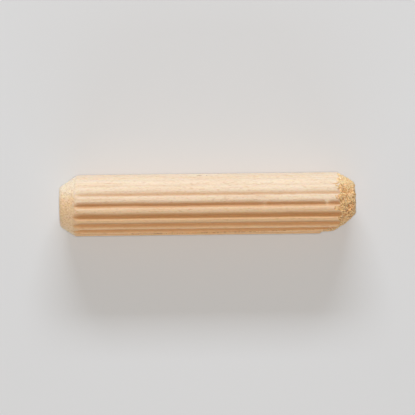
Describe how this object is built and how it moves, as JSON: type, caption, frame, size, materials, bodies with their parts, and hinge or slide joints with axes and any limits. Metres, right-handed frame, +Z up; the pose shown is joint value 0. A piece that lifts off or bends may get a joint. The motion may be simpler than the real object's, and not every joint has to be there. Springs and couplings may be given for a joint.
{
  "type": "dowel pin",
  "caption": "Fluted wooden dowel pin with bevelled ends, one end torn, for joining furniture boards.",
  "frame": {"origin": "on the pin's axis, half-way between its two end faces", "axes": "+X along the pin's axis, from the clean end towards the torn end; +Z up, through the middle of a flute, with the pin lying on the two crests beside the lowest flute; the broken crest is on the -Y side"},
  "size_m": [0.04, 0.0082, 0.0082],
  "materials": {
    "birch_wood": "unfinished pale hardwood, satin where the flutes were pressed, matt and fibrous on the torn end"
  },
  "bodies": {
    "root": {"dowel_pin": "birch_wood"}
  },
  "joints": []
}
